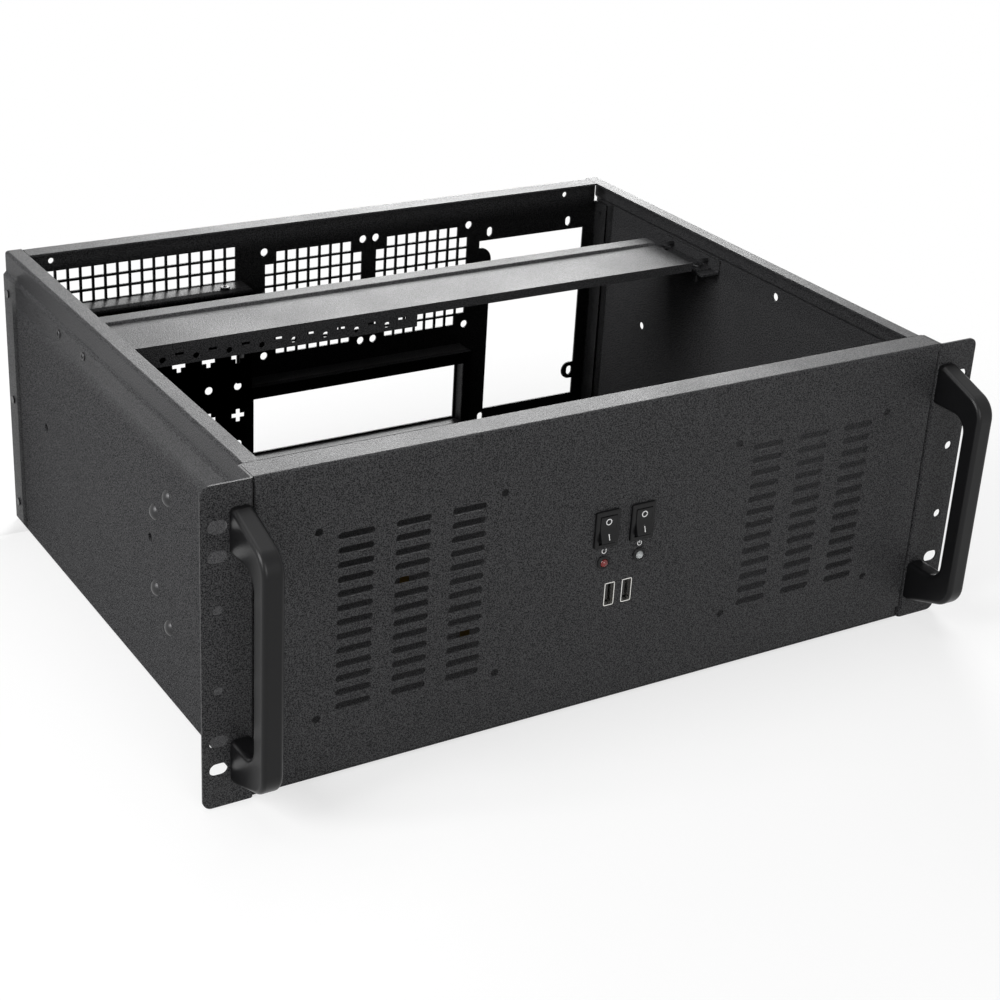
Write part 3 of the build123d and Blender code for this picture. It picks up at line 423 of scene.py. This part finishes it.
def ring(radius, width, start=0.0, end=FULL_TURN):
    """A ring, or a part of one: two arcs that lie half the width in and out of the radius."""
    closed = end - start >= FULL_TURN
    stop = end - (end - start) / ARC_POINTS if closed else end
    inner = arc(radius - width / 2, start, stop, ARC_POINTS)
    outer = arc(radius + width / 2, start, stop, ARC_POINTS)
    return inner, outer, closed


def bar(width, height, v=0.0):
    """An upright rectangle with its middle at height v: a band from its foot to its top."""
    u = np.array([-width / 2, width / 2])
    foot = np.stack([u, np.full(2, v - height / 2)], 1)
    top = np.stack([u, np.full(2, v + height / 2)], 1)
    return foot, top, False


# %% A plate on a surface
def plate(name, shapes, origin, out, up, thickness, mat):
    """
    Joins bands into one closed thin object on a plane.

    A point (u, v) of layer w lies at origin + u*side + v*up + w*thickness*out, where
    side = up x out, so that u runs to the right as seen from outside.
    """
    origin, out, up = (np.array(v, float) for v in (origin, out, up))
    side = np.cross(up, out)
    points, faces, count = [], [], 0
    for inner, outer, closed in shapes:
        flat, layer, quads = band(inner, outer, closed)
        on_plane = origin + flat[:, :1] * side + flat[:, 1:] * up
        points.append(on_plane + layer[:, None] * thickness * out)
        faces.append(quads + count)
        count += len(flat)
    item = mesh_object(name, np.concatenate(points), np.concatenate(faces), mat)
    outward(item)
    return item


# %% [markdown]
# ## Ring and bar on the rockers
#
# A rocker's front is two flat faces that meet in a hollow, with a ring printed on the upper
# one and a bar on the lower one. Their slopes could be worked out from the switch's angle,
# but the mesh already knows them: the largest flat patch in each half is the face, and the
# mark lies on it and rides on the rocker.

# %% Find the faces of a rocker
FACES_FRONT = -0.8


def rocker_face(node, upper):
    """Centre and normal of the rocker's largest flat face above or below its middle."""
    middle = centre(node)
    groups = {}
    for p in NODES[node].data.polygons:
        if p.normal.y < FACES_FRONT and (p.center.z > middle.z) == upper:
            groups.setdefault(tuple(round(v, 2) for v in p.normal), []).append(p)
    flat = max(groups.values(), key=lambda found: sum(p.area for p in found))
    area = sum(p.area for p in flat)
    spot = sum((p.center * p.area for p in flat), Vector()) / area
    return spot, flat[0].normal.copy()


# %% Print the rockers
MARK_THICKNESS = 0.06 * MM
MARK_LINE = 0.5 * MM
RING_RADIUS = 1.6 * MM
BAR_HEIGHT = 3.4 * MM
MARKS = {"ring": ring(RING_RADIUS, MARK_LINE), "bar": bar(MARK_LINE, BAR_HEIGHT)}
for name in ("reset", "power"):
    node = f"{name}_rocker"
    for label, shape in MARKS.items():
        spot, normal = rocker_face(node, label == "ring")
        up = normal.cross(Vector((-1, 0, 0))).normalized()
        up = up if up.z > 0 else -up
        mark = plate(f"{node}_{label}", [shape], spot, normal, up, MARK_THICKNESS, WHITE_INK)
        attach(mark, node)
        print(mark.name, [round(v, 4) for v in spot], "normal", [round(v, 2) for v in normal])

# %% [markdown]
# ## Signs on the panel
#
# Below each switch the panel carries a small generic sign: a power sign, which is an open
# ring with a stroke in its gap, and a restart sign, which is an open ring with an
# arrowhead. Text objects would need a font, while rings and bars of the same line width
# give both signs from the helpers above.

# %% Signs
SIGN_Z = 94.0 * MM
SIGN_RADIUS, SIGN_LINE, SIGN_THICKNESS = 1.3 * MM, 0.42 * MM, 0.04 * MM
POWER_ARC, RESET_ARC = (125.0, 415.0), (120.0, 400.0)
STROKE_HEIGHT, STROKE_MIDDLE = 1.6 * MM, 0.95 * MM
SIGNS = {
    "power": [ring(SIGN_RADIUS, SIGN_LINE, *POWER_ARC),
              bar(SIGN_LINE, STROKE_HEIGHT, STROKE_MIDDLE)],
    "reset": [ring(SIGN_RADIUS, SIGN_LINE, *RESET_ARC)],
}


def panel_sign(name, shapes, switch):
    """A thin plate on the front face, in line with a switch."""
    spot = (SWITCH[switch].x, FRONT_Y, SIGN_Z)
    sign = plate(name, shapes, spot, (0, -1, 0), (0, 0, 1), SIGN_THICKNESS, WHITE_INK)
    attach(sign, "case")
    return sign


for name, shapes in SIGNS.items():
    panel_sign(f"{name}_sign", shapes, name)
print("signs at", round(SIGN_Z, 4))

# %% Arrowhead of the restart sign
# It is drawn pointing up, as a band from its base to its narrow tip, and is turned and
# moved as a whole to the end of the ring.
ARROW_BASE = np.array([[-0.75, -0.1], [0.75, -0.1]]) * MM
ARROW_TIP = np.array([[-0.02, 0.85], [0.02, 0.85]]) * MM
ARROW_TOWARDS, DRAWN_TOWARDS = 310.0, 90.0
arrow_at = arc(SIGN_RADIUS, RESET_ARC[1], RESET_ARC[1], 1)[0]
turn = math.radians(ARROW_TOWARDS - DRAWN_TOWARDS)
spin = np.array([[math.cos(turn), math.sin(turn)], [-math.sin(turn), math.cos(turn)]])
head = (ARROW_BASE @ spin + arrow_at, ARROW_TIP @ spin + arrow_at, False)
arrow = panel_sign("reset_sign_arrow", [head], "reset")
print(arrow.name, "faces", len(arrow.data.polygons))

# %% [markdown]
# ## Contacts in the sockets
#
# Each socket has a tongue with four gold-plated spring contacts. They are thin strips that
# show only as bright lines in the dark opening. Bent springs would be lost there, so each
# is a flat closed box on the side of the tongue, and all of them are one object.

# %% Boxes from corners
CORNERS = np.array([[0, 0, 0], [1, 0, 0], [1, 1, 0], [0, 1, 0],
                    [0, 0, 1], [1, 0, 1], [1, 1, 1], [0, 1, 1]])
QUADS = np.array([[0, 3, 2, 1], [4, 5, 6, 7], [0, 1, 5, 4],
                  [1, 2, 6, 5], [2, 3, 7, 6], [3, 0, 4, 7]])


def boxes(name, lows, highs, mat):
    """
    One object of closed boxes, from (n, 3) arrays of opposite corners.

    A corner c of 0s and 1s lies at low + c * (high - low), and box k uses points 8k to 8k+7.
    """
    points = lows[:, None, :] + CORNERS * (highs - lows)[:, None, :]
    faces = QUADS + len(CORNERS) * np.arange(len(lows))[:, None, None]
    return mesh_object(name, points.reshape(-1, 3), faces.reshape(-1, 4), mat)


# %% Contacts
CONTACT_ROWS = np.array([-3.5, -1.0, 1.0, 3.5]) * MM
CONTACT_THICKNESS, CONTACT_HALF_WIDTH = 0.12 * MM, 0.5 * MM
FROM_TIP, FROM_ROOT = 0.4 * MM, 0.5 * MM
tongue = NODES["usb_tongues"].data
tongue_xs = np.unique(np.round([v.co.x for v in tongue.vertices], 5))
low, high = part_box("usb_tongues")
rows = centre("usb_tongues").z + CONTACT_ROWS
# The sides come in pairs, so every second one is the low side of a tongue.
x, z = (grid.ravel() for grid in np.meshgrid(tongue_xs[::2], rows, indexing="ij"))
front, back = np.full(x.shape, low.y + FROM_TIP), np.full(x.shape, high.y - FROM_ROOT)
contacts = boxes("usb_contacts",
                 np.stack([x - CONTACT_THICKNESS, front, z - CONTACT_HALF_WIDTH], 1),
                 np.stack([x, back, z + CONTACT_HALF_WIDTH], 1), GOLD)
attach(contacts, "case")
print("tongue sides", tongue_xs, "contacts", len(x))

# %% [markdown]
# ## Lead frames in the lamps
#
# Inside each epoxy dome stands a lead frame: a post that ends in the cup for the chip, and
# a thinner post for its wire. Through the lens it shows as a pale shape that makes the lamp
# look like a lamp and not like a bead. Three boxes are enough at this size.

# %% Lead frames
# Low and high corner of each box in x, y and z, from the tip of the lamp on its axis.
POST = (-0.35, 1.6, -1.2, 0.35, 9.0, -0.6)
CUP = (-0.9, 1.3, -1.2, 0.9, 2.0, 0.3)
WIRE_POST = (0.5, 1.6, 0.6, 1.0, 9.0, 1.1)
LEAD_FRAME = np.array([POST, CUP, WIRE_POST]) * MM
for name, spot in LAMP.items():
    tip = np.array([spot.x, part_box(f"{name}_lamp")[0].y, spot.z])
    lows, highs = tip + LEAD_FRAME[:, :3], tip + LEAD_FRAME[:, 3:]
    piece = boxes(f"{name}_lamp_lead_frame", lows, highs, SILVER)
    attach(piece, "case")
    print(piece.name, "at", [round(float(v), 4) for v in tip])

# %% [markdown]
# ## Floor
#
# The case stands on a pale floor that keeps its shadow. A white floor lit until it clips
# would also throw too much light on the black coat. So the floor is plain matt paper to
# the light, and only the rays that show it, those of the camera, of gloss and of clear
# parts, see it mixed with white, and see the background instead of it further out.

# %% Rays that see the background
WHITE = (1.0, 1.0, 1.0, 1.0)


def seen_rays(tree):
    """1 for camera, glossy and transmission rays, which all show the background, else 0."""
    rays = add(tree, "ShaderNodeLightPath").outputs
    some = add(tree, "ShaderNodeMath",
               {0: rays["Is Camera Ray"], 1: rays["Is Glossy Ray"]}, operation="MAXIMUM")
    both = add(tree, "ShaderNodeMath",
               {0: some.outputs[0], 1: rays["Is Transmission Ray"]}, operation="MAXIMUM")
    return both.outputs[0]


# %% Floor
FLOOR_SIZE, FLOOR_Z = 60.0, -0.2 * MM
FLOOR_SPECULAR = 0.1
FADE_FROM, FADE_TO = 0.32, 0.75
GLOW_SHARE, GLOW_STRENGTH = 0.65, 1.0
bpy.ops.mesh.primitive_plane_add(size=FLOOR_SIZE, location=(0, 0, FLOOR_Z))
floor = bpy.context.object
floor.name = "stage_floor"
floor_mat, tree, shader = surface("matt_white_paper", "#f4f4f4", 0.9)
shader.inputs["Specular IOR Level"].default_value = FLOOR_SPECULAR
seen = seen_rays(tree)
place = add(tree, "ShaderNodeTexCoord")
away = add(tree, "ShaderNodeVectorMath", {0: place.outputs["Object"]}, operation="LENGTH")
fade = add(tree, "ShaderNodeMapRange",
           {"Value": away.outputs["Value"], "From Min": FADE_FROM, "From Max": FADE_TO},
           interpolation_type="SMOOTHSTEP")
share = add(tree, "ShaderNodeMath", {0: fade.outputs["Result"], 1: seen}, operation="MULTIPLY")
part = add(tree, "ShaderNodeMath", {0: seen, 1: GLOW_SHARE}, operation="MULTIPLY")
glow = add(tree, "ShaderNodeEmission", {"Color": WHITE, "Strength": GLOW_STRENGTH})
pale = add(tree, "ShaderNodeMixShader",
           {0: part.outputs[0], 1: shader.outputs[0], 2: glow.outputs[0]})
gone = add(tree, "ShaderNodeBsdfTransparent")
both = add(tree, "ShaderNodeMixShader",
           {0: share.outputs[0], 1: pale.outputs[0], 2: gone.outputs[0]})
tree.links.new(both.outputs[0], tree.nodes["Material Output"].inputs["Surface"])
floor.data.materials.append(floor_mat)
floor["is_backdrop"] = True
print("floor fades from", FADE_FROM, "to", FADE_TO, "metres")

# %% [markdown]
# ## World
#
# The background has to be white, but a world of that strength would light the black case
# from all sides and take its shape away. So the world has two strengths: 1 for the rays
# that show it, and a tenth for the light that it sends.

# %% World
SEEN_STRENGTH, LIT_STRENGTH = 1.0, 0.1
world = bpy.data.worlds.new("pale_room")
bpy.context.scene.world = world
world.use_nodes = True
tree = world.node_tree
tree.nodes.clear()
shown = add(tree, "ShaderNodeBackground", {"Color": WHITE, "Strength": SEEN_STRENGTH})
lit = add(tree, "ShaderNodeBackground", {"Color": WHITE, "Strength": LIT_STRENGTH})
mix = add(tree, "ShaderNodeMixShader",
          {0: seen_rays(tree), 1: lit.outputs[0], 2: shown.outputs[0]})
add(tree, "ShaderNodeOutputWorld", {"Surface": mix.outputs[0]})
print("world lights at", LIT_STRENGTH, "and shows at", SEEN_STRENGTH)

# %% [markdown]
# ## Lights
#
# Black sheet metal shows its folds by where it shines. One lamp at the camera would flatten
# it, so five soft squares share the work: one from the left for the side wall, one from the
# front for the panel, a weak one above the case and a wide one higher up for the inside,
# and a low one from behind that glances off every surface facing up, so that rails and
# crossbar stand out.

# %% Lights
# Each light's place, the point it is turned to, the side of its square and its watts.
MIDDLE, TOP, FOOT = (0.0, 0.0, 0.1), (0.0, 0.0, 0.16), (0.0, 0.0, 0.0)
LIGHTS = {
    "top_light": ((-0.15, 0.3, 2.0), MIDDLE, 1.4, 10.0),
    "left_light": ((-1.7, -0.2, 1.1), MIDDLE, 1.0, 38.0),
    "overhead_light": ((0.0, 0.0, 3.0), FOOT, 3.5, 6.0),
    "back_light": ((1.25, 2.1, 0.95), TOP, 1.1, 62.0),
    "front_light": ((-0.4, -2.2, 0.9), MIDDLE, 1.2, 20.0),
}


def area_light(name, place, target, size, watts):
    """A soft square light that points at a target."""
    data = bpy.data.lights.new(name, "AREA")
    data.shape = "SQUARE"
    data.size = size
    data.energy = watts
    item = bpy.data.objects.new(name, data)
    item.location = place
    item.rotation_euler = (Vector(target) - Vector(place)).to_track_quat("-Z", "Y").to_euler()
    bpy.context.scene.collection.objects.link(item)
    item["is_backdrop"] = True
    return item


for name, values in LIGHTS.items():
    item = area_light(name, *values)
    print(item.name, item.data.energy, "W")

# %% [markdown]
# ## Black card
#
# As in a studio, a black card stands between a light and what it shouldn't reach. It hangs
# inside the case, just in front of the slot covers and the board frame, so that the back
# light and the white surroundings don't shine through the rear openings on to the bottom of
# the case. Weaker lights would darken all of the case; the card darkens only the inside.
# The camera doesn't see it. It is as wide as the limits of the dull coat, so it reaches
# out past the side walls.

# %% Black card
CARD_GAP, CARD_MARGIN = 2 * MM, 1 * MM
FOOT_Z, HEAD_Z = 2 * MM, 168 * MM
CARD_Y = min(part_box(node)[0].y for node in ("slot_cover_1", "board_frame")) - CARD_GAP
x0, x1 = LIMIT_LOW.x + CARD_MARGIN, LIMIT_HIGH.x - CARD_MARGIN
corners = [(x0, CARD_Y, FOOT_Z), (x1, CARD_Y, FOOT_Z), (x1, CARD_Y, HEAD_Z), (x0, CARD_Y, HEAD_Z)]
card_mat = surface("black_card", "#020202", 1.0)[0]
card = mesh_object("rear_flag", corners, [(0, 1, 2, 3)], card_mat)
card.visible_camera = False
card.visible_transmission = False
card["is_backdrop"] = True
print("card at", round(CARD_Y, 4), "rear flanges start at", round(REAR_FLANGE_Y, 4))

# %% [markdown]
# ## Camera
#
# The camera could be set by eye, but the case has standard sizes: the rack's width and
# height, the fans' hole patterns and the pitch of the card slots. A fit of those lengths to
# the photograph gave the lens, the place and the turn. The lens is not shifted, so that
# every other view keeps the case in the frame.

# %% Camera
SENSOR_MM, LENS_MM = 36.0, 72.18
CAMERA_AT = (-0.57316, -0.76834 + FRONT_Y, 0.57486)
CAMERA_TURN = (64.415, -3.122, -31.324)
camera_data = bpy.data.cameras.new("camera")
camera_data.sensor_width = SENSOR_MM
camera_data.lens = LENS_MM
camera = bpy.data.objects.new("camera", camera_data)
camera.location = CAMERA_AT
camera.rotation_euler = Euler([math.radians(a) for a in CAMERA_TURN], "XYZ")
bpy.context.scene.collection.objects.link(camera)
bpy.context.scene.camera = camera
bpy.context.scene.view_settings.view_transform = "Standard"
print("camera at", [round(v, 4) for v in camera.location])

# %% [markdown]
# ## The size of the dressed object
#
# The box of the dressed object, with the floor and the card left out, is printed.

# %% Size of the dressed object
low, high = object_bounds()
print("visual", [round(v, 4) for v in (*low, *high)])
